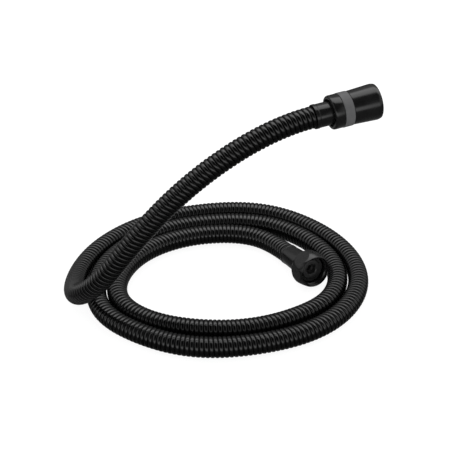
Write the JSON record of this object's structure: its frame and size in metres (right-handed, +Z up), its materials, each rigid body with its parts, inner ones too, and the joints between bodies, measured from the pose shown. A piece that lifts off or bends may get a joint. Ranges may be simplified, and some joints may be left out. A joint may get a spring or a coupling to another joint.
{
  "type": "shower hose",
  "caption": "Ribbed metal shower hose lying in two turns with one end raised, a hexagonal union nut on the low end and a swivelling conical nut on the raised end.",
  "frame": {"origin": "centre of the coil's bounding box, on the floor", "axes": "+Z up; +X to the right and +Y away as the hose is seen from the front, with the raised conical end pointing to the right"},
  "size_m": [0.2083, 0.1764, 0.16],
  "materials": {
    "plated": "satin",
    "black_coat": "satin",
    "grey_satin": "satin",
    "raw_brass": "machined",
    "steel": "brushed",
    "rubber": "matte",
    "liner": "matte",
    "nylon": "matte"
  },
  "bodies": {
    "hose": {"outer_hose": "black_coat", "liner_tube": "liner", "hex_ferrule": "black_coat", "hex_tail": "plated", "hex_washer": "rubber", "cone_ferrule": "black_coat", "cone_tail": "plated", "o_ring_rear": "rubber", "o_ring_front": "rubber", "retaining_clip": "steel"},
    "hex_union": {"hex_nut": "black_coat"},
    "swivel_seat": {"seat_bush": "raw_brass", "slip_washer": "nylon", "cone_washer": "rubber"},
    "cone_union": {"cone_nut": "black_coat", "rear_collar": "black_coat", "swivel_ring": "grey_satin"}
  },
  "joints": [
    {"name": "hex_nut_spin", "type": "hinge", "parent": "hose", "child": "hex_union", "pos_m": [0.06369, -0.00225, 0.01302], "axis": [0.4782, -0.8626, 0.165], "continuous": true},
    {"name": "swivel_spin", "type": "hinge", "parent": "hose", "child": "swivel_seat", "pos_m": [0.0819, -0.02148, 0.14718], "axis": [0.9361, 0.3407, 0.0872], "continuous": true},
    {"name": "cone_nut_spin", "type": "hinge", "parent": "swivel_seat", "child": "cone_union", "pos_m": [0.0819, -0.02148, 0.14718], "axis": [0.9361, 0.3407, 0.0872], "continuous": true}
  ]
}
